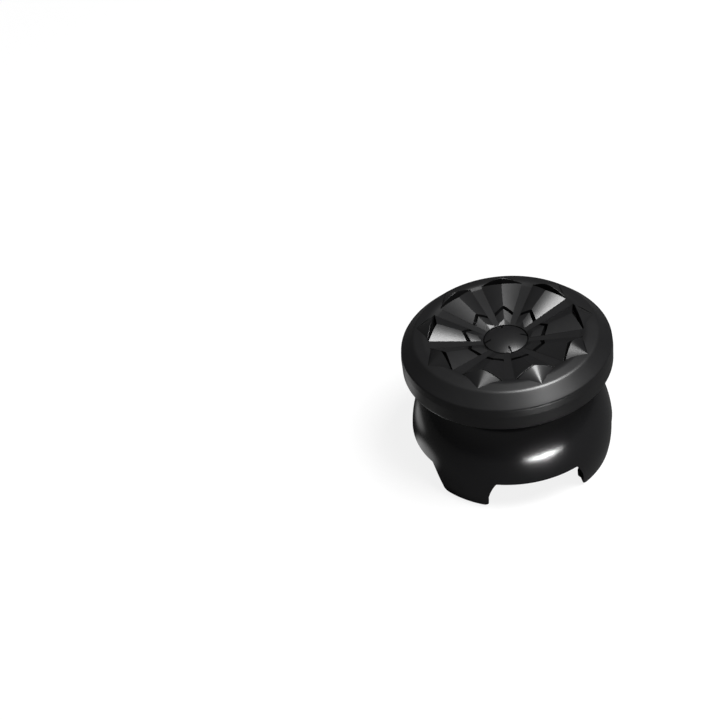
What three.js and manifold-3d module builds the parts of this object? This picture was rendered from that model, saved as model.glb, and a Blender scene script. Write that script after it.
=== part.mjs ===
import * as THREE from 'three'
import { ConvexGeometry } from 'three/addons/geometries/ConvexGeometry.js'
import { mergeVertices } from 'three/addons/utils/BufferGeometryUtils.js'
import Module from 'manifold-3d'

const wasm = await Module()
wasm.setup()

// Driving sizes in millimetres, +Z up, feet on z = 0
const SEGMENTS = 72
const DISC_R = 12.0
const DISC_BOTTOM_Z = 12.65
const RIM_Z = 16.6
const EDGE_ROUND = 0.35
const CUP_R = 11.6
const CUP_WIDEST_Z = 3.3
const FOOT_R = 11.1
const WALL = 1.05
const CEILING_Z = 5.4
const NECK_R = 6.3
const LUG_COUNT = 4
const NOTCH_WIDTH = 11.0
const NOTCH_HEIGHT = 4.1
const NOTCH_CORNER_R = 1.0
const FOOT_CORNER_R = 0.6
const CLIP_DEPTH = 0.4
const CLIP_HEIGHT = 1.1
const TREAD_CELLS = 9
const HUB_R = 2.45
const GROOVE_WIDTH = 0.22

// Heights and radii that follow from the driving sizes
const CREST_R = DISC_R - 1.85
const CHAMFER_Z = RIM_Z - 1.4
const PEAK_Z = RIM_Z + 1.35
const PEAK_R = CREST_R - 1.9
const HUB_Z = RIM_Z - 1.08
const CORNER_R = PEAK_R + 0.42
const CORNER_Z = RIM_Z + 0.3
const INNER_R = CREST_R - 6.0
const INNER_Z = RIM_Z - 0.62
const RIDGE_R = INNER_R + 0.57
const RIDGE_Z = RIM_Z - 0.08
const CORNER_ANGLE = THREE.MathUtils.degToRad(13.9)
const INNER_ANGLE = THREE.MathUtils.degToRad(12.8)
const NECK_Z = DISC_BOTTOM_Z - 1.45
const FLARE_R = 0.8
const SOCKET_R = CUP_R - WALL
const CLIP_R = FOOT_R - WALL - CLIP_DEPTH
const ARC_STEPS = 8

// Removes normals and coordinates, joins equal corners and drops empty triangles
function weld(geometry) {
  const bare = geometry.clone()
  bare.deleteAttribute('normal')
  bare.deleteAttribute('uv')
  const merged = mergeVertices(bare, 1e-4)
  const kept = []
  for (let i = 0; i < merged.index.count; i += 3) {
    const corners = [0, 1, 2].map((step) => merged.index.getX(i + step))
    if (new Set(corners).size === corners.length) kept.push(...corners)
  }
  merged.setIndex(kept)
  return merged
}

// Turns a geometry into a solid for joining and cutting
function toSolid(geometry) {
  const merged = weld(geometry)
  const mesh = new wasm.Mesh({
    numProp: 3,
    vertProperties: new Float32Array(merged.attributes.position.array),
    triVerts: new Uint32Array(merged.index.array),
  })
  return new wasm.Manifold(mesh)
}

// Turns a finished solid back into a geometry
function toGeometry(solid) {
  const mesh = solid.getMesh()
  const geometry = new THREE.BufferGeometry()
  geometry.setAttribute('position', new THREE.BufferAttribute(new Float32Array(mesh.vertProperties), mesh.numProp))
  geometry.setIndex(new THREE.BufferAttribute(new Uint32Array(mesh.triVerts), 1))
  geometry.computeVertexNormals()
  return geometry
}

// Spins a closed outline of [radius, height] points about Z
function spin(outline) {
  const points = outline.map(([r, z]) => new THREE.Vector2(r, z))
  return new THREE.LatheGeometry(points, SEGMENTS).rotateX(Math.PI / 2)
}

// Points along a quarter ellipse, from one angle to another
function arc(centre, radii, from, to) {
  return Array.from({ length: ARC_STEPS + 1 }, (_, i) => {
    const angle = THREE.MathUtils.degToRad(from + ((to - from) * i) / ARC_STEPS)
    return [centre[0] + radii[0] * Math.cos(angle), centre[1] + radii[1] * Math.sin(angle)]
  })
}

// Point at a radius, angle and height
function polar(r, angle, z) {
  return new THREE.Vector3(r * Math.cos(angle), r * Math.sin(angle), z)
}

// Round cap under the tread: flat seat below, sloped rim, dished top and a raised hub
function makeDisc() {
  const side = DISC_R - EDGE_ROUND
  return spin([
    [0, DISC_BOTTOM_Z],
    ...arc([side, DISC_BOTTOM_Z + EDGE_ROUND], [EDGE_ROUND, EDGE_ROUND], -90, 0),
    [DISC_R, CHAMFER_Z - EDGE_ROUND],
    [DISC_R - EDGE_ROUND / 3, CHAMFER_Z],
    [CREST_R + EDGE_ROUND, RIM_Z - EDGE_ROUND / 2],
    [CREST_R, RIM_Z],
    [CORNER_R, CORNER_Z - EDGE_ROUND / 3],
    [INNER_R, INNER_Z - EDGE_ROUND / 3],
    [HUB_R + EDGE_ROUND, HUB_Z - EDGE_ROUND],
    [HUB_R, HUB_Z - EDGE_ROUND],
    [HUB_R, HUB_Z - EDGE_ROUND / 3],
    [HUB_R - EDGE_ROUND / 3, HUB_Z],
    [0, HUB_Z],
  ])
}

// One tread cell: a ridged petal that climbs to a peak and falls to the rim
function makeCell() {
  const low = HUB_Z - EDGE_ROUND * 2
  const footprint = [
    [INNER_R, INNER_ANGLE, INNER_Z],
    [INNER_R, -INNER_ANGLE, INNER_Z],
    [CORNER_R, CORNER_ANGLE, CORNER_Z],
    [CORNER_R, -CORNER_ANGLE, CORNER_Z],
    [CREST_R, 0, RIM_Z + EDGE_ROUND / 4],
  ]
  return new ConvexGeometry([
    ...footprint.map(([r, angle, z]) => polar(r, angle, z)),
    ...footprint.map(([r, angle]) => polar(r, angle, low)),
    polar(RIDGE_R, 0, RIDGE_Z),
    polar(PEAK_R, 0, PEAK_Z),
  ])
}

// Narrow cutter from a cell's peak down to one of its outer corners
function makeGroove(side) {
  const peak = polar(PEAK_R, 0, PEAK_Z)
  const corner = polar(CORNER_R, side * CORNER_ANGLE, CORNER_Z)
  const run = corner.clone().sub(peak)
  const across = new THREE.Vector3(0, 0, 1).cross(run).setLength(GROOVE_WIDTH / 2)
  const reach = run.clone().multiplyScalar(1.06)
  const start = peak.clone().add(run.clone().multiplyScalar(0.12))
  const end = peak.clone().add(reach)
  const rise = new THREE.Vector3(0, 0, GROOVE_WIDTH * 2)
  return new ConvexGeometry([start, end].flatMap((at) => [
    at.clone().add(across).add(rise),
    at.clone().sub(across).add(rise),
    at.clone().add(across),
    at.clone().sub(across),
    at.clone().sub(rise),
  ]))
}

// Cap with all its tread cells and their grooves
function makeTreadCap() {
  let solid = toSolid(makeDisc())
  let cell = toSolid(makeCell())
  for (const side of [-1, 1]) {
    cell = cell.subtract(toSolid(makeGroove(side)))
  }
  for (let i = 0; i < TREAD_CELLS; i += 1) {
    solid = solid.add(cell.rotate([0, 0, (360 * i) / TREAD_CELLS]))
  }
  return toGeometry(solid)
}

// Cup with its skirt, shoulder, neck and the socket underneath
function makeCup() {
  const clipTop = CLIP_HEIGHT + CLIP_DEPTH
  const socketTop = CEILING_Z - EDGE_ROUND
  return spin([
    [0, CEILING_Z],
    [SOCKET_R - EDGE_ROUND, CEILING_Z],
    [SOCKET_R, socketTop],
    [SOCKET_R, CUP_WIDEST_Z],
    [CLIP_R + CLIP_DEPTH, clipTop],
    [CLIP_R, CLIP_HEIGHT],
    [CLIP_R, EDGE_ROUND],
    [CLIP_R + EDGE_ROUND, 0],
    [FOOT_R - EDGE_ROUND / 2, 0],
    [FOOT_R, EDGE_ROUND / 2],
    ...arc([NECK_R, CUP_WIDEST_Z], [CUP_R - NECK_R, NECK_Z - CUP_WIDEST_Z], 0, 84),
    ...arc([NECK_R + FLARE_R, DISC_BOTTOM_Z - FLARE_R], [FLARE_R, FLARE_R], 180, 90),
    [0, DISC_BOTTOM_Z],
  ])
}

// Outline of one notch seen from the side, open at the feet
function notchOutline() {
  const half = NOTCH_WIDTH / 2
  const below = -NOTCH_HEIGHT
  const shape = new THREE.Shape()
  shape.moveTo(-half - FOOT_CORNER_R, below)
  shape.lineTo(half + FOOT_CORNER_R, below)
  shape.lineTo(half + FOOT_CORNER_R, 0)
  shape.absarc(half + FOOT_CORNER_R, FOOT_CORNER_R, FOOT_CORNER_R, -Math.PI / 2, -Math.PI, true)
  shape.absarc(half - NOTCH_CORNER_R, NOTCH_HEIGHT - NOTCH_CORNER_R, NOTCH_CORNER_R, 0, Math.PI / 2)
  shape.absarc(-half + NOTCH_CORNER_R, NOTCH_HEIGHT - NOTCH_CORNER_R, NOTCH_CORNER_R, Math.PI / 2, Math.PI)
  shape.absarc(-half - FOOT_CORNER_R, FOOT_CORNER_R, FOOT_CORNER_R, 0, -Math.PI / 2, true)
  return shape
}

// Base: the cup with a notch between each pair of lugs
function makeBase() {
  const length = DISC_R * 3
  const cutter = new THREE.ExtrudeGeometry(notchOutline(), {
    depth: length,
    bevelEnabled: false,
    curveSegments: ARC_STEPS,
  })
  cutter.translate(0, 0, -length / 2).rotateX(Math.PI / 2).rotateZ(Math.PI / 2)
  let solid = toSolid(makeCup())
  const slot = toSolid(cutter)
  for (let i = 0; i < LUG_COUNT / 2; i += 1) {
    solid = solid.subtract(slot.rotate([0, 0, (360 * i) / LUG_COUNT]))
  }
  return toGeometry(solid)
}

const rubber = new THREE.MeshStandardMaterial({ color: 0x1b1b1d, roughness: 0.55, metalness: 0 })
rubber.name = 'tread_rubber'
const plastic = new THREE.MeshStandardMaterial({ color: 0x121214, roughness: 0.28, metalness: 0 })
plastic.name = 'base_plastic'

const treadCap = new THREE.Mesh(makeTreadCap(), rubber)
treadCap.name = 'tread_cap'
const base = new THREE.Mesh(makeBase(), plastic)
base.name = 'base'

const group = new THREE.Group()
group.name = 'controller_thumb_grip'
group.add(base, treadCap)

export default group
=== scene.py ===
"""Controller thumb grip: a dished rubber tread with ridged petals on a glossy clip-on cup."""

import logging
import math
from collections.abc import Callable, Iterable, Iterator, Sequence
from contextlib import contextmanager
from dataclasses import dataclass
from enum import Enum

import bmesh
import bpy
from mathutils import Matrix, Vector


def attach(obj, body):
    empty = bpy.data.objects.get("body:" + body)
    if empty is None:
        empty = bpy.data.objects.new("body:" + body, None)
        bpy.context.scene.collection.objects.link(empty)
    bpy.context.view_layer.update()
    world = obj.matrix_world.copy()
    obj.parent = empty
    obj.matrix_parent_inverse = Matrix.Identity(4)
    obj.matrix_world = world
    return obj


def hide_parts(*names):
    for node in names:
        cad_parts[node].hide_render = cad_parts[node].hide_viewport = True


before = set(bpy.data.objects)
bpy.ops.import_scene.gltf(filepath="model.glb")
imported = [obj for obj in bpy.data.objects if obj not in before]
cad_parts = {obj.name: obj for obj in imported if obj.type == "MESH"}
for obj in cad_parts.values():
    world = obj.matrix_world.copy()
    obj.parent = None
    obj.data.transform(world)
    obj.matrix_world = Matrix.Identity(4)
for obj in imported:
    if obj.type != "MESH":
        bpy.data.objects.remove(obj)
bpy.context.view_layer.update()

LOG = logging.getLogger("thumb_grip")
MM = 0.001
BODY = "root"
WELD_DISTANCE = 2e-6
# A corner this close to straight, in radians, isn't rounded
STRAIGHT = 1e-3
# The most of an outline's edge that the rounding of one corner may use
EDGE_SHARE = 0.49

Point2 = tuple[float, float]
Point3 = tuple[float, float, float]


class Slot(Enum):
    """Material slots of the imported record."""

    TREAD = "tread_rubber"
    BASE = "base_plastic"


class Node(Enum):
    """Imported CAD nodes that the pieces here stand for."""

    TREAD = "tread_cap"
    BASE = "base"


# Small geometry helpers


def polar(radius: float, angle: float, height: float) -> Point3:
    """Return the point at a radius, angle in radians and height, all in millimetres."""
    return (radius * math.cos(angle), radius * math.sin(angle), height)


def fillet_profile(corners: Sequence[tuple[float, float, float]], steps: int = 8) -> list[Point2]:
    """Round the corners of an open outline.

    Args:
        corners: Radius, height and corner rounding of each corner, in millimetres.
        steps: Number of short edges that make each rounding.

    Returns:
        The outline's points with each corner replaced by its arc.
    """
    points: list[Point2] = [corners[0][:2]]
    for before, here, after in zip(corners, corners[1:], corners[2:]):
        corner = Vector(here[:2])
        to_before = Vector(before[:2]) - corner
        to_after = Vector(after[:2]) - corner
        turn = to_before.angle(to_after)
        if here[2] <= 0 or turn > math.pi - STRAIGHT:
            points.append(here[:2])
            continue
        most = min(to_before.length * EDGE_SHARE, to_after.length * EDGE_SHARE)
        setback = min(here[2] / math.tan(turn / 2), most)
        start = corner + to_before.normalized() * setback
        end = corner + to_after.normalized() * setback
        for step in range(steps + 1):
            share = step / steps
            first = start.lerp(corner, share)
            second = corner.lerp(end, share)
            points.append(tuple(first.lerp(second, share)))
    points.append(corners[-1][:2])
    return points


def add_object(name: str, data: bpy.types.ID) -> bpy.types.Object:
    """Make an object from its data and link it to the scene."""
    made = bpy.data.objects.new(name, data)
    bpy.context.collection.objects.link(made)
    return made


@contextmanager
def edited_mesh(piece: bpy.types.Object) -> Iterator[bmesh.types.BMesh]:
    """Open a piece's mesh for editing, and write it back when the block ends."""
    bm = bmesh.new()
    bm.from_mesh(piece.data)
    yield bm
    bm.to_mesh(piece.data)
    bm.free()


def new_piece(
    name: str, verts: Iterable[Point3], faces: Iterable[Sequence[int]]
) -> bpy.types.Object:
    """Make an object from points in millimetres.

    Args:
        name: The piece's name.
        verts: Points in millimetres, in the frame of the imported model.
        faces: Corner numbers of each face, anticlockwise seen from outside.

    Returns:
        The linked object, at the origin, with its mesh in metres.
    """
    mesh = bpy.data.meshes.new(name)
    mesh.from_pydata([tuple(c * MM for c in v) for v in verts], [], [list(f) for f in faces])
    mesh.update()
    return add_object(name, mesh)


def spin_profile(
    name: str,
    profile: Sequence[Point2],
    segments: int,
    shift: Callable[[float, float, float], float] | None = None,
) -> bpy.types.Object:
    """Spin an outline that starts and ends on the axis into a closed piece.

    Args:
        name: The piece's name.
        profile: Radius and height of each point, from the lower axis point round to the upper one.
        segments: Number of steps round the axis.
        shift: Gives a height to add at a radius, angle and height.

    Returns:
        The closed piece.
    """
    verts: list[Point3] = [(0.0, 0.0, profile[0][1])]
    rings = profile[1:-1]
    for radius, height in rings:
        for step in range(segments):
            angle = math.tau * step / segments
            lift = shift(radius, angle, height) if shift else 0.0
            verts.append(polar(radius, angle, height + lift))
    verts.append((0.0, 0.0, profile[-1][1]))
    top = len(verts) - 1
    faces: list[Sequence[int]] = []
    for step in range(segments):
        after = (step + 1) % segments
        faces.append((0, 1 + after, 1 + step))
        for ring in range(len(rings) - 1):
            low, high = 1 + ring * segments, 1 + (ring + 1) * segments
            faces.append((low + step, low + after, high + after, high + step))
        last = 1 + (len(rings) - 1) * segments
        faces.append((last + step, last + after, top))
    return new_piece(name, verts, faces)


def grid_shell(
    rows: Sequence[Sequence[Point3]], floor: float
) -> tuple[list[Point3], list[Sequence[int]]]:
    """Close a grid of top points into a block with an even floor.

    Args:
        rows: Top points, row by row, each row from right to left seen along the rows.
        floor: Height of the block's underside.

    Returns:
        The block's points and faces.
    """
    count = len(rows[0])
    verts = [point for row in rows for point in row]
    low = len(verts)
    verts += [(x, y, floor) for x, y, _ in verts]
    faces: list[Sequence[int]] = []
    for i in range(len(rows) - 1):
        for j in range(count - 1):
            a, b = i * count + j, i * count + j + 1
            c, d = b + count, a + count
            faces.append((a, d, c, b))
            faces.append((low + a, low + b, low + c, low + d))
    last = (len(rows) - 1) * count
    rim = list(range(count))
    rim += [i * count + count - 1 for i in range(1, len(rows))]
    rim += [last + j for j in range(count - 2, -1, -1)]
    rim += [i * count for i in range(len(rows) - 2, 0, -1)]
    for here, after in zip(rim, rim[1:] + rim[:1]):
        faces.append((here, after, low + after, low + here))
    return verts, faces


def smooth(piece: bpy.types.Object, angle: float) -> None:
    """Shade a piece smooth, with edges over an angle kept crisp."""
    piece.data.shade_smooth()
    piece.data.set_sharp_from_angle(angle=angle)


def tidy_mesh(piece: bpy.types.Object) -> None:
    """Join doubled points and turn every face outwards."""
    with edited_mesh(piece) as bm:
        bmesh.ops.remove_doubles(bm, verts=bm.verts, dist=WELD_DISTANCE)
        bmesh.ops.recalc_face_normals(bm, faces=bm.faces)


def bevel_edges(piece: bpy.types.Object, width: float, least: float, lowest: float) -> None:
    """Break a piece's crisp edges with a narrow flat.

    Args:
        piece: The piece whose mesh is changed.
        width: Width of the flat, in millimetres.
        least: Smallest angle between faces that counts as crisp, in radians.
        lowest: Height below which edges are left alone, in millimetres.
    """
    with edited_mesh(piece) as bm:
        bm.normal_update()
        edges = [
            e
            for e in bm.edges
            if len(e.link_faces) == 2
            and e.calc_face_angle(0.0) > least
            and min(v.co.z for v in e.verts) > lowest * MM
        ]
        bmesh.ops.bevel(
            bm,
            geom=edges,
            offset=width * MM,
            offset_type="OFFSET",
            segments=1,
            profile=0.5,
            affect="EDGES",
            clamp_overlap=True,
        )


def join_into(name: str, pieces: Sequence[bpy.types.Object]) -> bpy.types.Object:
    """Join several loose pieces into one new piece and delete them."""
    bm = bmesh.new()
    for piece in pieces:
        bm.from_mesh(piece.data)
    mesh = bpy.data.meshes.new(name)
    bm.to_mesh(mesh)
    bm.free()
    for piece in pieces:
        bpy.data.objects.remove(piece)
    return add_object(name, mesh)


# Node trees


def add_math(
    tree: bpy.types.NodeTree, operation: str, *terms: float | bpy.types.NodeSocket
) -> bpy.types.NodeSocket:
    """Add a math node.

    Args:
        tree: The tree that gets the node.
        operation: What the node does with its terms.
        terms: Each term's number, or the socket that gives it.

    Returns:
        The socket that gives the result.
    """
    node = tree.nodes.new("ShaderNodeMath")
    node.operation = operation
    for socket, term in zip(node.inputs, terms):
        if isinstance(term, bpy.types.NodeSocket):
            tree.links.new(term, socket)
        else:
            socket.default_value = term
    return node.outputs[0]


def new_tree(
    title: str, inputs: dict[str, str]
) -> tuple[bpy.types.NodeTree, bpy.types.Node]:
    """Start a geometry node tree.

    Args:
        title: The tree's name.
        inputs: Name and kind of each of its inputs.

    Returns:
        The tree and its input node.
    """
    tree = bpy.data.node_groups.new(title, "GeometryNodeTree")
    for label, kind in inputs.items():
        tree.interface.new_socket(label, in_out="INPUT", socket_type=f"NodeSocket{kind}")
    tree.interface.new_socket("Result", in_out="OUTPUT", socket_type="NodeSocketGeometry")
    return tree, tree.nodes.new("NodeGroupInput")


def add_ring(
    tree: bpy.types.NodeTree, source: bpy.types.Node, cell: bpy.types.NodeSocket
) -> bpy.types.NodeSocket:
    """Add the nodes that copy a shape round the vertical axis.

    Args:
        tree: The tree that gets the nodes.
        source: The tree's input node, which gives the count.
        cell: The socket that gives the shape.

    Returns:
        The socket that gives all the copies as one mesh.
    """
    nodes, links = tree.nodes, tree.links
    points = nodes.new("GeometryNodePoints")
    index = nodes.new("GeometryNodeInputIndex")
    pitch = add_math(tree, "DIVIDE", math.tau, source.outputs["Count"])
    turn = add_math(tree, "MULTIPLY", index.outputs[0], pitch)
    rotation = nodes.new("ShaderNodeCombineXYZ")
    placed = nodes.new("GeometryNodeInstanceOnPoints")
    realized = nodes.new("GeometryNodeRealizeInstances")
    links.new(source.outputs["Count"], points.inputs["Count"])
    links.new(turn, rotation.inputs["Z"])
    links.new(points.outputs[0], placed.inputs["Points"])
    links.new(cell, placed.inputs["Instance"])
    links.new(rotation.outputs[0], placed.inputs["Rotation"])
    links.new(placed.outputs[0], realized.inputs[0])
    return realized.outputs[0]


def close_tree(
    tree: bpy.types.NodeTree, source: bpy.types.Node, shape: bpy.types.NodeSocket
) -> None:
    """Give a tree's shape its finish and lead it to the output."""
    dressed = tree.nodes.new("GeometryNodeSetMaterial")
    target = tree.nodes.new("NodeGroupOutput")
    tree.links.new(shape, dressed.inputs["Geometry"])
    tree.links.new(source.outputs["Finish"], dressed.inputs["Material"])
    tree.links.new(dressed.outputs[0], target.inputs[0])


def run_tree(
    tree: bpy.types.NodeTree,
    holder: bpy.types.Object,
    name: str,
    values: dict[str, int | bpy.types.ID],
) -> bpy.types.Object:
    """Run a tree on a piece and keep the result as a plain mesh.

    Args:
        tree: The tree to run.
        holder: The piece that it starts from, which is deleted.
        name: Name of the finished piece.
        values: What the tree's other inputs get.

    Returns:
        The finished piece, with no modifier.
    """
    sockets = {item.name: item.identifier for item in tree.interface.items_tree}
    modifier = holder.modifiers.new(tree.name, "NODES")
    modifier.node_group = tree
    for label, value in values.items():
        modifier[sockets[label]] = value
    depsgraph = bpy.context.evaluated_depsgraph_get()
    mesh = bpy.data.meshes.new_from_object(holder.evaluated_get(depsgraph))
    holder.modifiers.remove(modifier)
    bpy.data.objects.remove(holder)
    mesh.name = name
    return add_object(name, mesh)


@dataclass(frozen=True)
class RingPattern:
    """A geometry node tree that repeats a piece round the vertical axis."""

    title: str
    weld: bool = False

    def build(self) -> bpy.types.NodeTree:
        """Make the tree, with inputs for the count and the finish."""
        inputs = {"Cell": "Geometry", "Count": "Int", "Finish": "Material"}
        tree, source = new_tree(self.title, inputs)
        ring = add_ring(tree, source, source.outputs["Cell"])
        if self.weld:
            merge = tree.nodes.new("GeometryNodeMergeByDistance")
            merge.inputs["Distance"].default_value = WELD_DISTANCE
            tree.links.new(ring, merge.inputs[0])
            ring = merge.outputs[0]
        close_tree(tree, source, ring)
        return tree

    def repeat(
        self, cell: bpy.types.Object, name: str, count: int, finish: bpy.types.Material
    ) -> bpy.types.Object:
        """Repeat a cell and return the plain mesh piece.

        Args:
            cell: The piece to repeat, which is deleted.
            name: Name of the finished piece.
            count: Number of copies round the axis.
            finish: The piece's material.

        Returns:
            The finished piece.
        """
        return run_tree(self.build(), cell, name, {"Count": count, "Finish": finish})


@dataclass(frozen=True)
class PocketCut:
    """A geometry node tree that cuts a ring of equal pockets into a piece."""

    title: str

    def build(self) -> bpy.types.NodeTree:
        """Make the tree, with inputs for the cutter, the count and the finish."""
        inputs = {"Blank": "Geometry", "Cutter": "Object", "Count": "Int", "Finish": "Material"}
        tree, source = new_tree(self.title, inputs)
        cutter = tree.nodes.new("GeometryNodeObjectInfo")
        tree.links.new(source.outputs["Cutter"], cutter.inputs["Object"])
        ring = add_ring(tree, source, cutter.outputs["Geometry"])
        cut = tree.nodes.new("GeometryNodeMeshBoolean")
        cut.operation = "DIFFERENCE"
        cut.solver = "EXACT"
        tree.links.new(source.outputs["Blank"], cut.inputs[0])
        tree.links.new(ring, cut.inputs[1])
        close_tree(tree, source, cut.outputs[0])
        return tree

    def cut(
        self,
        blank: bpy.types.Object,
        cutter: bpy.types.Object,
        name: str,
        count: int,
        finish: bpy.types.Material,
    ) -> bpy.types.Object:
        """Cut the pockets and return the plain mesh piece.

        Args:
            blank: The closed piece to cut, which is deleted.
            cutter: The shape of one pocket, which is deleted.
            name: Name of the finished piece.
            count: Number of pockets round the axis.
            finish: The piece's material.

        Returns:
            The finished piece.
        """
        values = {"Cutter": cutter, "Count": count, "Finish": finish}
        piece = run_tree(self.build(), blank, name, values)
        bpy.data.objects.remove(cutter)
        return piece


# Finishes


@dataclass(frozen=True)
class MouldedFinish:
    """A black moulded finish: fine grain, uneven gloss and a faint change of tone."""

    title: str
    colour: tuple[float, float, float]
    tone: tuple[float, float, float]
    roughness: float
    roughness_spread: float
    grain_size_mm: float
    grain_height_mm: float
    grain_strength: float = 0.6
    grain_detail: float = 2.0
    patch_size_mm: float = 3.0
    patch_detail: float = 3.0
    noise_roughness: float = 0.6
    gloss_gain: float = 2.0
    ior: float = 1.5
    specular: float = 0.5

    def build(self) -> bpy.types.Material:
        """Make the material from noise on the piece's own coordinates."""
        material = bpy.data.materials.new(self.title)
        material.use_nodes = True
        tree = material.node_tree
        nodes, links = tree.nodes, tree.links
        shader = nodes["Principled BSDF"]
        shader.inputs["IOR"].default_value = self.ior
        shader.inputs["Specular IOR Level"].default_value = self.specular
        place = nodes.new("ShaderNodeTexCoord")
        broad = self._noise(tree, place, self.patch_size_mm, self.patch_detail)
        tone = nodes.new("ShaderNodeMix")
        tone.data_type = "RGBA"
        tone.inputs["A"].default_value = (*self.colour, 1.0)
        tone.inputs["B"].default_value = (*self.tone, 1.0)
        links.new(broad.outputs["Fac"], tone.inputs["Factor"])
        links.new(tone.outputs["Result"], shader.inputs["Base Color"])
        gloss = nodes.new("ShaderNodeMapRange")
        gloss.inputs["To Min"].default_value = self.roughness - self.roughness_spread
        gloss.inputs["To Max"].default_value = self.roughness + self.roughness_spread
        fine = self._noise(tree, place, self.grain_size_mm, self.grain_detail)
        mixed = add_math(tree, "MULTIPLY", broad.outputs["Fac"], fine.outputs["Fac"])
        spread = add_math(tree, "MULTIPLY", mixed, self.gloss_gain)
        links.new(spread, gloss.inputs["Value"])
        links.new(gloss.outputs["Result"], shader.inputs["Roughness"])
        bump = nodes.new("ShaderNodeBump")
        bump.inputs["Distance"].default_value = self.grain_height_mm * MM
        bump.inputs["Strength"].default_value = self.grain_strength
        links.new(fine.outputs["Fac"], bump.inputs["Height"])
        links.new(bump.outputs["Normal"], shader.inputs["Normal"])
        return material

    def _noise(
        self, tree: bpy.types.NodeTree, place: bpy.types.Node, size_mm: float, detail: float
    ) -> bpy.types.Node:
        """Add a noise texture on the piece's own coordinates."""
        noise = tree.nodes.new("ShaderNodeTexNoise")
        noise.inputs["Scale"].default_value = 1 / (size_mm * MM)
        noise.inputs["Detail"].default_value = detail
        noise.inputs["Roughness"].default_value = self.noise_roughness
        tree.links.new(place.outputs["Object"], noise.inputs["Vector"])
        return noise


TREAD_FINISH = MouldedFinish(
    title="tread_rubber_satin",
    colour=(0.0042, 0.0042, 0.0045),
    tone=(0.0060, 0.0060, 0.0064),
    roughness=0.36,
    roughness_spread=0.04,
    grain_size_mm=0.12,
    grain_height_mm=0.004,
)
BASE_FINISH = MouldedFinish(
    title="base_plastic_gloss",
    colour=(0.0035, 0.0035, 0.0038),
    tone=(0.0050, 0.0050, 0.0054),
    roughness=0.20,
    roughness_spread=0.02,
    grain_size_mm=0.20,
    grain_height_mm=0.0015,
)


# The rubber tread


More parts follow.
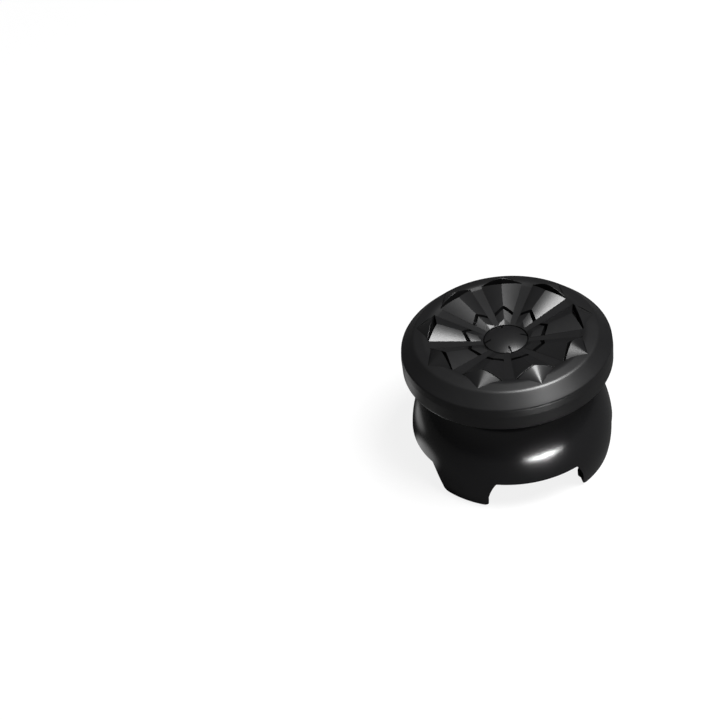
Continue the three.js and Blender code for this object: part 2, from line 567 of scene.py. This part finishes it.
@dataclass
class Tread:
    """The round rubber tread with its petals, teeth, inner facets and hub, in millimetres.

    Places on a petal are given as the distance along it from the axis, the distance across
    from its middle line, and the height over the rim.
    """

    rim_z: float = 16.6
    disc_r: float = 11.94
    bottom_z: float = 12.5
    crest_r: float = 10.38
    chamfer_r: float = 11.86
    chamfer_drop: float = 1.42
    side_drop: float = 2.3
    cells: int = 9
    tip_r: float = 10.15
    peak_r: float = 8.25
    peak_rise: float = 1.24
    corner_r: float = 8.72
    corner_rise: float = 0.30
    corner_angle: float = math.radians(13.9)
    petal_inner: Point3 = (2.68, 0.63, -0.98)
    petal_outer: Point3 = (8.43, 2.37, 0.18)
    ridge_inner: Point2 = (3.18, -0.69)
    ridge_outer: Point2 = (7.95, 0.93)
    petal_end: Point2 = (7.70, 8.33)
    chevron: Point2 = (4.71, 4.02)
    arch_crease: float = 0.6
    tooth_crease: float = 0.65
    tooth_softness: float = 0.14
    hub_r: float = 2.45
    hub_drop: float = 1.10
    hub_dome: float = 0.60
    hub_edge: tuple[Point2, Point2] = ((0.0, 0.10), (0.02, 0.03))
    hub_inset: float = 0.05
    hub_rings: int = 26
    hub_segments: int = 288
    hub_crisp: float = math.radians(35)
    tick_length: float = 0.75
    tick_depth: float = 0.30
    tick_half: float = 0.11
    tick_margin: float = 0.05
    moat_gap: float = 0.10
    moat_foot_gap: float = 0.06
    moat_depth: float = 0.45
    side_lean: float = 0.03
    lip_half: float = 0.35
    lip_rise: float = 0.37
    roundings: tuple[float, ...] = (0.25, 1.5, 0.40, 0.85, 1.2, 0.8, 0.05)
    round_steps: int = 10
    longest_edge: float = 0.35
    disc_crisp: float = math.radians(30)
    groove: float = 0.46
    step: float = 0.03
    edge_cosine: float = 0.97
    pocket_depth: float = 0.75
    pocket_reach: float = 0.1
    cutter_depths: float = 4
    overlap: float = 0.03
    foot_gap: float = 0.11
    foot_drop: float = 0.14
    foot_taper: float = 0.97
    tip_rise: float = 0.03
    petal_bevel: float = 0.012
    petal_crisp: float = math.radians(40)
    tooth_bevel: float = 0.02
    tooth_crisp: float = math.radians(50)
    cells_crisp: float = math.radians(15)
    floor_z: float = 14.2
    buried: float = 0.1
    inner_steps: int = 8
    outer_steps: int = 20
    tooth_steps: int = 18
    across_steps: int = 24
    segments: int = 240
    finish: bpy.types.Material | None = None

    def _share(self, x: float) -> float:
        """Return how far along a petal a distance lies, from 0 at its inner end to 1."""
        return (x - self.petal_inner[0]) / (self.petal_outer[0] - self.petal_inner[0])

    def edge_height(self, x: float) -> float:
        """Return the height of a petal's side edge at a distance along the petal."""
        rise = self.petal_outer[2] - self.petal_inner[2]
        return self.rim_z + self.petal_inner[2] + rise * self._share(x)

    def half_width(self, x: float) -> float:
        """Return half the width of a petal at a distance along it."""
        return self.petal_inner[1] + (self.petal_outer[1] - self.petal_inner[1]) * self._share(x)

    def roof(self, x: float, y: float) -> float:
        """Return the height of a petal's arched roof at a place on it."""
        share = (x - self.ridge_inner[0]) / (self.ridge_outer[0] - self.ridge_inner[0])
        rise = self.ridge_outer[1] - self.ridge_inner[1]
        ridge = self.rim_z + self.ridge_inner[1] + rise * share
        edge = self.edge_height(x)
        across = min(1.0, abs(y) / self.half_width(x))
        return edge + (ridge - edge) * self._arch(across, self.arch_crease)

    def surface(self, radius: float) -> float:
        """Return the height of the smooth spokes at a radius."""
        return self.edge_height(radius * self.edge_cosine) - self.step

    def make_disc(self) -> bpy.types.Object:
        """Make the disc: flat underside, round-edged side, sloped rim, crest and dished spokes."""
        under, side, chamfer, crest, lip, dish, moat = self.roundings
        lip_r, dish_r = self.corner_r + self.lip_half, self.corner_r - self.lip_half
        moat_r = self.hub_r + self.moat_gap
        pit_z = self.rim_z - self.hub_drop - self.moat_depth
        profile = fillet_profile(
            [
                (0.0, self.bottom_z, 0.0),
                (self.disc_r - self.side_lean, self.bottom_z, under),
                (self.disc_r, self.rim_z - self.side_drop, side),
                (self.chamfer_r, self.rim_z - self.chamfer_drop, chamfer),
                (self.crest_r, self.rim_z, crest),
                (lip_r, self.rim_z + self.lip_rise, lip),
                (dish_r, self.surface(dish_r), dish),
                (moat_r, self.surface(moat_r), moat),
                (self.hub_r + self.moat_foot_gap, pit_z, 0.0),
                (0.0, pit_z, 0.0),
            ],
            steps=self.round_steps,
        )
        blank = spin_profile("tread_blank", self._densify(profile), self.segments)
        tidy_mesh(blank)
        piece = PocketCut("tread_pockets").cut(
            blank, self.make_pocket(), "tread_disc", self.cells, self.finish
        )
        smooth(piece, self.disc_crisp)
        return piece

    def make_pocket(self) -> bpy.types.Object:
        """Make the cutter for one cell's pocket, a touch narrower than the cell's blocks."""
        corner = polar(self.corner_r, self.corner_angle, 0.0)
        far, near = self.petal_outer, self.petal_inner
        half = [(self.tip_r - self.overlap, 0.0), (corner[0], corner[1] - self.overlap)]
        half.append((far[0], far[1] - self.overlap))
        half.append((near[0] - self.pocket_reach, near[1] - self.overlap))
        outline = half + [(x, -y) for x, y in reversed(half[1:])]
        verts: list[Point3] = []
        for level in (0.0, self.peak_rise + self.pocket_depth * self.cutter_depths):
            for x, y in outline:
                radius = math.hypot(x, y)
                floor = self.surface(min(radius, self.corner_r)) - self.pocket_depth
                verts.append((x, y, floor + level))
        count = len(outline)
        faces: list[Sequence[int]] = []
        for here in range(count):
            after = (here + 1) % count
            faces.append((here, after, count + after, count + here))
        piece = new_piece("pocket", verts, faces)
        with edited_mesh(piece) as bm:
            bmesh.ops.holes_fill(bm, edges=bm.edges, sides=0)
            bmesh.ops.triangulate(bm, faces=[f for f in bm.faces if len(f.verts) > 4])
            bmesh.ops.recalc_face_normals(bm, faces=bm.faces)
        return piece

    def _densify(self, profile: Sequence[Point2]) -> list[Point2]:
        """Split an outline's long edges into even short ones."""
        points: list[Point2] = [profile[0]]
        for start, end in zip(profile, profile[1:]):
            count = max(1, math.ceil(math.dist(start, end) / self.longest_edge))
            for step in range(1, count + 1):
                share = step / count
                points.append(tuple(a + (b - a) * share for a, b in zip(start, end)))
        return points

    @staticmethod
    def _arch(across: float, crease: float, softness: float = 0.0) -> float:
        """Return how high an arched roof stands at a place across it, from 1 at its ridge to 0."""
        whole = math.hypot(1.0, softness) - softness
        side = (math.hypot(across, softness) - softness) / whole
        return crease * (1 - side) + (1 - crease) * (1 - side * side)

    def _petal_row(self, ridge_x: float, edge_x: float) -> list[Point3]:
        """Return one row of roof points, bent from the ridge to both side edges."""
        row: list[Point3] = []
        for j in range(self.across_steps + 1):
            v = 1 - 2 * j / self.across_steps
            x = ridge_x + (edge_x - ridge_x) * abs(v)
            y = self.half_width(edge_x) * v
            row.append((x, y, self.roof(x, y)))
        return row

    def make_petal(self, start: Point2, end: Point2, along: int, foot: bool) -> bpy.types.Object:
        """Make a length of petal roof.

        Args:
            start: Ridge and edge distance of its inner end.
            end: Ridge and edge distance of its outer end.
            along: Number of steps along it.
            foot: Whether a steep facet leads from its inner end down to the hub.

        Returns:
            The closed block under the roof.
        """
        rows: list[list[Point3]] = []
        for i in range(along + 1):
            ridge_x = start[0] + (end[0] - start[0]) * i / along
            edge_x = start[1] + (end[1] - start[1]) * i / along
            rows.append(self._petal_row(ridge_x, edge_x))
        if foot:
            radius = self.hub_r + self.foot_gap
            level = self.rim_z + self.petal_inner[2] - self.foot_drop
            widths = [y * self.foot_taper for _, y, _ in rows[0]]
            rows.insert(0, [(math.sqrt(radius**2 - y**2), y, level) for y in widths])
        verts, faces = grid_shell(rows, self.floor_z)
        piece = new_piece("petal", verts, faces)
        tidy_mesh(piece)
        if not foot:
            bevel_edges(piece, self.petal_bevel, self.petal_crisp, self.floor_z + self.buried)
        return piece

    def make_tooth(self) -> bpy.types.Object:
        """Make one tooth: an arched slope from the peak out to its tip at the crest."""
        corner = polar(self.corner_r, self.corner_angle, 0.0)
        low = self.rim_z + self.corner_rise
        high = self.rim_z + self.peak_rise
        tip = (self.tip_r, 0.0, self.rim_z + self.tip_rise)
        rows: list[list[Point3]] = []
        for i in range(self.tooth_steps + 1):
            u = i / self.tooth_steps
            narrow = 1 - u
            edge = low + (tip[2] - low) * u
            row: list[Point3] = []
            for j in range(self.across_steps + 1):
                v = 1 - 2 * j / self.across_steps
                start = Vector((self.peak_r, 0.0)).lerp(Vector(corner[:2]), abs(v))
                x = start.x + (tip[0] - start.x) * u
                y = start.y * narrow * (1 if v >= 0 else -1)
                arch = self._arch(v, self.tooth_crease, self.tooth_softness)
                row.append((x, y, edge + (high - low) * arch * narrow))
            rows.append(row)
        verts, faces = grid_shell(rows, self.floor_z)
        piece = new_piece("tooth", verts, faces)
        tidy_mesh(piece)
        bevel_edges(piece, self.tooth_bevel, self.tooth_crisp, self.floor_z + self.buried)
        return piece

    def make_cells(self) -> bpy.types.Object:
        """Repeat the inner petal, outer petal and tooth round the tread."""
        half = self.groove / 2
        start = (self.ridge_inner[0], self.petal_inner[0])
        before = (self.chevron[0] - half, self.chevron[1] - half)
        after = (self.chevron[0] + half, self.chevron[1] + half)
        inner = self.make_petal(start, before, self.inner_steps, True)
        outer = self.make_petal(after, self.petal_end, self.outer_steps, False)
        cell = join_into("tread_cell", [inner, outer, self.make_tooth()])
        piece = RingPattern("tread_ring").repeat(cell, "tread_cells", self.cells, self.finish)
        smooth(piece, self.cells_crisp)
        return piece

    def _tick(self, radius: float, angle: float, height: float) -> float:
        """Return how far the hub's four small index notches lower its surface."""
        quarter = math.pi / 2
        off = (angle + quarter / 2) % quarter - quarter / 2
        across = abs(radius * math.sin(off))
        lowest = self.rim_z - self.hub_drop - self.tick_margin
        if height < lowest or radius < self.hub_r - self.tick_length:
            return 0.0
        return -self.tick_depth if across < self.tick_half else 0.0

    def make_hub(self) -> bpy.types.Object:
        """Make the domed hub with its small index notches."""
        edge = self.rim_z - self.hub_drop
        curve = (self.hub_r**2 + self.hub_dome**2) / (2 * self.hub_dome)
        profile: list[Point2] = [(0.0, self.floor_z), (self.hub_r, self.floor_z)]
        profile += [(self.hub_r - inset, edge - drop) for inset, drop in self.hub_edge]
        for ring in range(self.hub_rings, 0, -1):
            radius = (self.hub_r - self.hub_inset) * ring / self.hub_rings
            sag = math.sqrt(curve**2 - radius**2)
            profile.append((radius, edge + self.hub_dome - curve + sag))
        profile.append((0.0, edge + self.hub_dome))
        piece = spin_profile("tread_hub", profile, self.hub_segments, self._tick)
        tidy_mesh(piece)
        smooth(piece, self.hub_crisp)
        return piece

    def build(self) -> list[bpy.types.Object]:
        """Make and dress the whole tread.

        Returns:
            The tread's pieces.
        """
        self.finish = TREAD_FINISH.build()
        pieces = [self.make_disc(), self.make_cells(), self.make_hub()]
        for piece in pieces:
            settle(piece, self.finish, Node.TREAD)
        return pieces


# The plastic cup


@dataclass
class Cup:
    """The hollow cup with its neck, notches and lugs, sizes in millimetres."""

    cup_r: float = 11.6
    widest_z: float = 3.3
    foot_r: float = 11.1
    skirt_power: float = 0.9
    wall: float = 1.05
    ceiling_z: float = 5.4
    neck_r: float = 6.3
    neck_z: float = 11.2
    flare_r: float = 0.8
    top_z: float = 12.65
    lugs: int = 4
    notch_width: float = 11.0
    notch_height: float = 3.87
    notch_corner: float = 1.0
    foot_corner: float = 0.6
    clip_depth: float = 0.4
    clip_z: float = 1.1
    edge: float = 0.16
    band_z: float = 5.2
    band_drop: float = 0.1
    ceiling_share: float = 0.985
    ceiling_corner: tuple[Point2, Point2] = ((0.06, 0.02), (0.0, 0.10))
    shoulder_end: float = math.radians(84)
    turn: float = math.radians(2.2)
    crisp: float = math.radians(38)
    edge_parts: tuple[float, ...] = (0.3, 0.7, 1.0)
    flat_steps: int = 10
    corner_steps: int = 10
    side_steps: int = 8
    foot_steps: int = 14
    ceiling_steps: int = 7
    inner_steps: int = 14
    outer_steps: int = 16
    shoulder_steps: int = 30
    flare_steps: int = 8
    top_steps: int = 6
    finish: bpy.types.Material | None = None

    def outside(self, height: float) -> float:
        """Return the outer radius at a height."""
        if height >= self.widest_z:
            share = min(1.0, (height - self.widest_z) / (self.neck_z - self.widest_z))
            return self.neck_r + (self.cup_r - self.neck_r) * math.sqrt(1 - share * share)
        share = max(0.0, height) / self.widest_z
        swell = math.sin(share * math.pi / 2) ** self.skirt_power
        return self.foot_r + (self.cup_r - self.foot_r) * swell

    def inside(self, height: float) -> float:
        """Return the inner radius at a height, with the clip bead near the feet."""
        wall_r = self.cup_r - self.wall
        clip_r = self.foot_r - self.wall - self.clip_depth
        if height <= self.clip_z:
            return clip_r
        share = min(1.0, (height - self.clip_z) / (self.widest_z - self.clip_z))
        return clip_r + (wall_r - clip_r) * math.sin(share * math.pi / 2)

    def _path(self) -> list[tuple[float, float, Vector]]:
        """Return the lower edge from a notch's middle to the foot of the lug beside it.

        Returns:
            Distance across, height, and the direction into the wall of each point.
        """
        half, top, corner = self.notch_width / 2, self.notch_height, self.notch_corner
        points: list[tuple[float, float, Vector]] = []
        for step in range(self.flat_steps + 1):
            points.append((step / self.flat_steps * (half - corner), top, Vector((0, 1))))
        for step in range(1, self.corner_steps + 1):
            angle = math.pi / 2 * (1 - step / self.corner_steps)
            centre = Vector((half - corner, top - corner))
            way = Vector((math.cos(angle), math.sin(angle)))
            points.append((*(centre + way * corner), way))
        low, high = self.foot_corner, top - corner
        for step in range(1, self.side_steps + 1):
            points.append((half, high + (low - high) * step / self.side_steps, Vector((1, 0))))
        for step in range(1, self.side_steps + 1):
            angle = math.pi - math.pi / 2 * step / self.side_steps
            centre = Vector((half + low, low))
            way = Vector((math.cos(angle), math.sin(angle)))
            points.append(
                (centre.x + way.x * low, centre.y - way.y * low, Vector((-way.x, way.y)))
            )
        return points

    def _columns(self) -> list[list[Point3]]:
        """Return the columns of half a sector, from a notch's middle to a lug's middle."""
        path = self._path()
        foot_start = math.asin((self.notch_width / 2 + self.foot_corner) / self.outside(0.0))
        total = len(path) + self.foot_steps
        columns: list[list[Point3]] = []
        for number in range(total):
            top_angle = math.pi / self.lugs * number / (total - 1)
            if number < len(path):
                across, height, way = path[number]
                columns.append(self._column(across, None, height, way, top_angle))
            else:
                share = (number - len(path) + 1) / self.foot_steps
                angle = foot_start + (math.pi / self.lugs - foot_start) * share
                columns.append(self._column(0.0, angle, 0.0, Vector((0, 1)), top_angle))
        return columns

    def _column(
        self, across: float, angle: float | None, height: float, way: Vector, top_angle: float
    ) -> list[Point3]:
        """Return one column of points.

        Args:
            across: Distance from the notch's middle plane, where the column starts in the notch.
            angle: Angle of the column's lower end, where it starts on the foot.
            height: Height of the column's lower end.
            way: Direction into the wall, across and up.
            top_angle: Angle of the column's upper part.

        Returns:
            The points from the ceiling's middle, down inside, round the edge and up outside.
        """

        def turned(radius: float, shift: float) -> float:
            """Return the angle of a point of the lower edge, a shift into the wall."""
            if angle is None:
                return math.asin(max(-1.0, min(1.0, (across + way.x * shift) / radius)))
            return angle

        edge = self.edge
        outer_low = height + way.y * edge
        inner_low = max(0.0, outer_low)
        inner_turn = turned(self.inside(inner_low), edge)
        outer_turn = turned(self.outside(outer_low), edge)
        rows: list[Point3] = []
        ceiling_r = self.inside(self.band_z)
        for step in range(self.ceiling_steps):
            radius = ceiling_r * step / self.ceiling_steps * self.ceiling_share
            rows.append(polar(radius, top_angle, self.ceiling_z))
        for inset, drop in self.ceiling_corner:
            rows.append(polar(ceiling_r - inset, top_angle, self.ceiling_z - drop))
        high = self.band_z - self.band_drop
        for step in range(self.inner_steps + 1):
            share = step / self.inner_steps
            level = high + (inner_low - high) * share
            turn = top_angle + (inner_turn - top_angle) * share
            rows.append(polar(self.inside(level), turn, level))
        inner_edge = (self.inside, 1, self.edge_parts)
        outer_edge = (self.outside, -1, self.edge_parts[::-1])
        for side, sign, parts in (inner_edge, outer_edge):
            for part in parts:
                lean = math.pi / 2 * part
                shift, depth = edge * (1 - math.sin(lean)), edge * (1 - math.cos(lean))
                radius = side(max(0.0, height)) + sign * depth
                rows.append(polar(radius, turned(radius, shift), height + way.y * shift))
        for step in range(self.outer_steps + 1):
            share = step / self.outer_steps
            level = outer_low + (self.band_z - outer_low) * share
            turn = outer_turn + (top_angle - outer_turn) * share
            rows.append(polar(self.outside(level), turn, level))
        rows += self._shoulder(top_angle)
        return rows

    def _shoulder(self, angle: float) -> list[Point3]:
        """Return the outer points above the notches, up the shoulder and neck to the top."""
        rows: list[Point3] = []
        rise = self.neck_z - self.widest_z
        start = math.asin((self.band_z - self.widest_z) / rise)
        for step in range(1, self.shoulder_steps + 1):
            turn = start + (self.shoulder_end - start) * step / self.shoulder_steps
            radius = self.neck_r + (self.cup_r - self.neck_r) * math.cos(turn)
            rows.append(polar(radius, angle, self.widest_z + rise * math.sin(turn)))
        flare_z = self.top_z - self.flare_r
        for step in range(self.flare_steps + 1):
            turn = math.pi - math.pi / 2 * step / self.flare_steps
            radius = self.neck_r + self.flare_r + self.flare_r * math.cos(turn)
            rows.append(polar(radius, angle, flare_z + self.flare_r * math.sin(turn)))
        for step in range(self.top_steps - 1, -1, -1):
            radius = (self.neck_r + self.flare_r) * step / self.top_steps
            rows.append(polar(radius, angle, self.top_z))
        return rows

    def make_sector(self) -> bpy.types.Object:
        """Make one quarter of the cup, from the middle of one lug to the middle of the next."""
        half = self._columns()
        columns = [[(x, -y, z) for x, y, z in column] for column in reversed(half[1:])] + half
        rows = len(columns[0])
        cosine, sine = math.cos(self.turn), math.sin(self.turn)
        verts = [
            (x * cosine - y * sine, x * sine + y * cosine, z)
            for column in columns
            for x, y, z in column
        ]
        faces: list[Sequence[int]] = []
        for i in range(len(columns) - 1):
            for j in range(rows - 1):
                a, b = i * rows + j, i * rows + j + 1
                faces.append((a, a + rows, b + rows, b))
        piece = new_piece("cup_sector", verts, faces)
        with edited_mesh(piece) as bm:
            bmesh.ops.remove_doubles(bm, verts=bm.verts, dist=WELD_DISTANCE)
            bmesh.ops.dissolve_degenerate(bm, edges=bm.edges, dist=WELD_DISTANCE)
        return piece

    def build(self) -> list[bpy.types.Object]:
        """Make and dress the cup.

        Returns:
            The cup's pieces.
        """
        self.finish = BASE_FINISH.build()
        piece = RingPattern("cup_ring", weld=True).repeat(
            self.make_sector(), "cup", self.lugs, self.finish
        )
        tidy_mesh(piece)
        smooth(piece, self.crisp)
        settle(piece, self.finish, Node.BASE)
        return [piece]


def settle(piece: bpy.types.Object, finish: bpy.types.Material, node: Node) -> None:
    """Give a piece its finish, hang it on the body it rides on, and hide the imported part it
    stands for.
    """
    piece.data.materials.clear()
    piece.data.materials.append(finish)
    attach(piece, BODY)
    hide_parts(node.value)


# Camera, light and floor


@dataclass(frozen=True)
class Viewpoint:
    """Where the camera stands, and where the tread's middle falls in the picture."""

    azimuth: float = -100.1
    elevation: float = 38.71
    roll: float = 4.48
    distance: float = 202.1 * MM
    focal_px: float = 1800.0
    picture_px: float = 720.0
    target: Point3 = (0.0, 0.0, 16.6 * MM)
    target_px: Point2 = (505.2, 331.6)
    sensor_mm: float = 36.0
    nearest: float = 0.01
    farthest: float = 20.0

    def build(self) -> None:
        """Make the camera and make it the scene's own."""
        data = bpy.data.cameras.new("camera")
        data.sensor_width = self.sensor_mm
        data.lens = self.sensor_mm * self.focal_px / self.picture_px
        data.clip_start = self.nearest
        data.clip_end = self.farthest
        camera = add_object("camera", data)
        lift, turn, roll = (math.radians(v) for v in (self.elevation, self.azimuth, self.roll))
        level = math.cos(lift)
        towards = Vector((level * math.cos(turn), level * math.sin(turn), math.sin(lift)))
        ahead = -towards
        right = ahead.cross(Vector((0, 0, 1))).normalized()
        down = ahead.cross(right)
        rolled_right = right * math.cos(roll) + down * math.sin(roll)
        rolled_down = down * math.cos(roll) - right * math.sin(roll)
        axes = Matrix((rolled_right, rolled_down, ahead))
        middle = self.picture_px / 2
        aim = Vector((*((px - middle) / self.focal_px for px in self.target_px), 1.0))
        swing = Vector((0, 0, 1)).rotation_difference(aim).to_matrix()
        rows = swing @ axes
        facing = Matrix((rows[0], -rows[1], -rows[2])).transposed().to_4x4()
        place = Vector(self.target) + towards * self.distance
        camera.matrix_world = Matrix.Translation(place) @ facing
        bpy.context.scene.camera = camera


@dataclass(frozen=True)
class SoftLamp:
    """A rectangular soft lamp aimed at the grip."""

    title: str
    direction: Point3
    distance: float
    width: float
    depth: float
    power: float
    spread: float = math.pi

    def build(self, target: Vector) -> None:
        """Make the lamp and turn it to the target."""
        data = bpy.data.lights.new(self.title, "AREA")
        data.shape = "RECTANGLE"
        data.size = self.width
        data.size_y = self.depth
        data.energy = self.power
        data.spread = self.spread
        lamp = add_object(self.title, data)
        way = Vector(self.direction).normalized()
        lamp.location = target + way * self.distance
        lamp.rotation_euler = way.to_track_quat("Z", "Y").to_euler()


@dataclass
class Studio:
    """The pale floor, the soft lamps and the world.

    Each bounce is the middle, reach and strength of a pale patch on the floor.
    """

    floor_half: float = 2.0
    floor_shade: float = 0.80
    floor_shade_unseen: float = 0.06
    floor_glow: float = 0.85
    lamp_aim: float = 3.0 * MM
    bounces: tuple[tuple[Point3, float, float], ...] = (
        ((-22.5 * MM, 12.0 * MM, 0.0), 8.0 * MM, 0.75),
        ((-15.5 * MM, 0.0, 0.0), 5.5 * MM, 1.00),
    )
    card_core: float = 0.4
    zenith_height: float = 0.15
    horizon_strength: float = 0.06
    zenith_strength: float = 0.21
    lamps: tuple[SoftLamp, ...] = (
        SoftLamp(
            title="lamp_key",
            direction=(0.325, -0.235, 0.916),
            distance=0.45,
            width=0.20,
            depth=0.20,
            power=3.8,
        ),
        SoftLamp(
            title="lamp_front",
            direction=(0.345, -0.939, 0.0),
            distance=0.060,
            width=0.090,
            depth=0.0012,
            power=0.0062,
            spread=math.radians(44),
        ),
    )

    def _floor_material(self) -> bpy.types.Material:
        """Make the floor's finish: white to the camera, with the grip's shadow kept."""
        material = bpy.data.materials.new("studio_floor")
        material.use_nodes = True
        nodes, links = material.node_tree.nodes, material.node_tree.links
        nodes.remove(nodes["Principled BSDF"])
        output = nodes["Material Output"]
        paint = nodes.new("ShaderNodeBsdfDiffuse")
        paint.inputs["Color"].default_value = (self.floor_shade,) * 3 + (1.0,)
        dull = nodes.new("ShaderNodeBsdfDiffuse")
        dull.inputs["Color"].default_value = (self.floor_shade_unseen,) * 3 + (1.0,)
        glow = nodes.new("ShaderNodeEmission")
        path = nodes.new("ShaderNodeLightPath")
        seen_mix = nodes.new("ShaderNodeMixShader")
        mixer = nodes.new("ShaderNodeMixShader")
        seen_mix.inputs[0].default_value = self.floor_glow
        links.new(paint.outputs[0], seen_mix.inputs[1])
        links.new(glow.outputs[0], seen_mix.inputs[2])
        links.new(path.outputs["Is Camera Ray"], mixer.inputs[0])
        links.new(self._bounce(material.node_tree, dull).outputs[0], mixer.inputs[1])
        links.new(seen_mix.outputs[0], mixer.inputs[2])
        links.new(mixer.outputs[0], output.inputs["Surface"])
        return material

    def _bounce(self, tree: bpy.types.NodeTree, dull: bpy.types.Node) -> bpy.types.Node:
        """Add soft pale patches to the floor as reflected, like white cards by the grip."""
        nodes, links = tree.nodes, tree.links
        place = nodes.new("ShaderNodeTexCoord")
        card = nodes.new("ShaderNodeEmission")
        both = nodes.new("ShaderNodeAddShader")
        total: bpy.types.NodeSocket | None = None
        for centre, reach, strength in self.bounces:
            away = nodes.new("ShaderNodeVectorMath")
            away.operation = "DISTANCE"
            away.inputs[1].default_value = centre
            fade = nodes.new("ShaderNodeMapRange")
            fade.interpolation_type = "SMOOTHSTEP"
            fade.inputs["From Min"].default_value = reach
            fade.inputs["From Max"].default_value = reach * self.card_core
            fade.inputs["To Max"].default_value = strength
            links.new(place.outputs["Object"], away.inputs[0])
            links.new(away.outputs["Value"], fade.inputs["Value"])
            pale = fade.outputs["Result"]
            total = add_math(tree, "ADD", total, pale) if total else pale
        links.new(total, card.inputs["Strength"])
        links.new(dull.outputs[0], both.inputs[0])
        links.new(card.outputs[0], both.inputs[1])
        return both

    def _world(self) -> None:
        """Make the surroundings: white to the camera, darker low down to everything else."""
        world = bpy.data.worlds.new("studio_world")
        bpy.context.scene.world = world
        world.use_nodes = True
        nodes, links = world.node_tree.nodes, world.node_tree.links
        back = nodes["Background"]
        back.inputs["Color"].default_value = (1.0, 1.0, 1.0, 1.0)
        path = nodes.new("ShaderNodeLightPath")
        place = nodes.new("ShaderNodeTexCoord")
        split = nodes.new("ShaderNodeSeparateXYZ")
        rise = nodes.new("ShaderNodeMapRange")
        rise.inputs["From Min"].default_value = self.zenith_height
        rise.inputs["To Min"].default_value = self.horizon_strength
        rise.inputs["To Max"].default_value = self.zenith_strength
        level = nodes.new("ShaderNodeMix")
        level.inputs["B"].default_value = 1.0
        links.new(place.outputs["Generated"], split.inputs[0])
        links.new(split.outputs["Z"], rise.inputs["Value"])
        links.new(rise.outputs["Result"], level.inputs["A"])
        links.new(path.outputs["Is Camera Ray"], level.inputs["Factor"])
        links.new(level.outputs["Result"], back.inputs["Strength"])

    def build(self) -> None:
        """Make the floor, lamps and world."""
        half = self.floor_half
        corners = [(-half, -half, 0), (half, -half, 0), (half, half, 0), (-half, half, 0)]
        mesh = bpy.data.meshes.new("studio_floor")
        mesh.from_pydata(corners, [], [(0, 1, 2, 3)])
        mesh.materials.append(self._floor_material())
        floor = add_object("studio_floor", mesh)
        for lamp in self.lamps:
            lamp.build(Vector((0, 0, self.lamp_aim)))
        self._world()
        bpy.context.scene.view_settings.view_transform = "Standard"


def main() -> None:
    """Build the grip and its studio in order, and report each piece."""
    logging.basicConfig(level=logging.INFO, format="%(name)s: %(message)s")
    Viewpoint().build()
    Studio().build()
    pieces = Tread().build() + Cup().build()
    for piece in pieces:
        LOG.info("%s: %d faces", piece.name, len(piece.data.polygons))


if __name__ == "__main__":
    main()
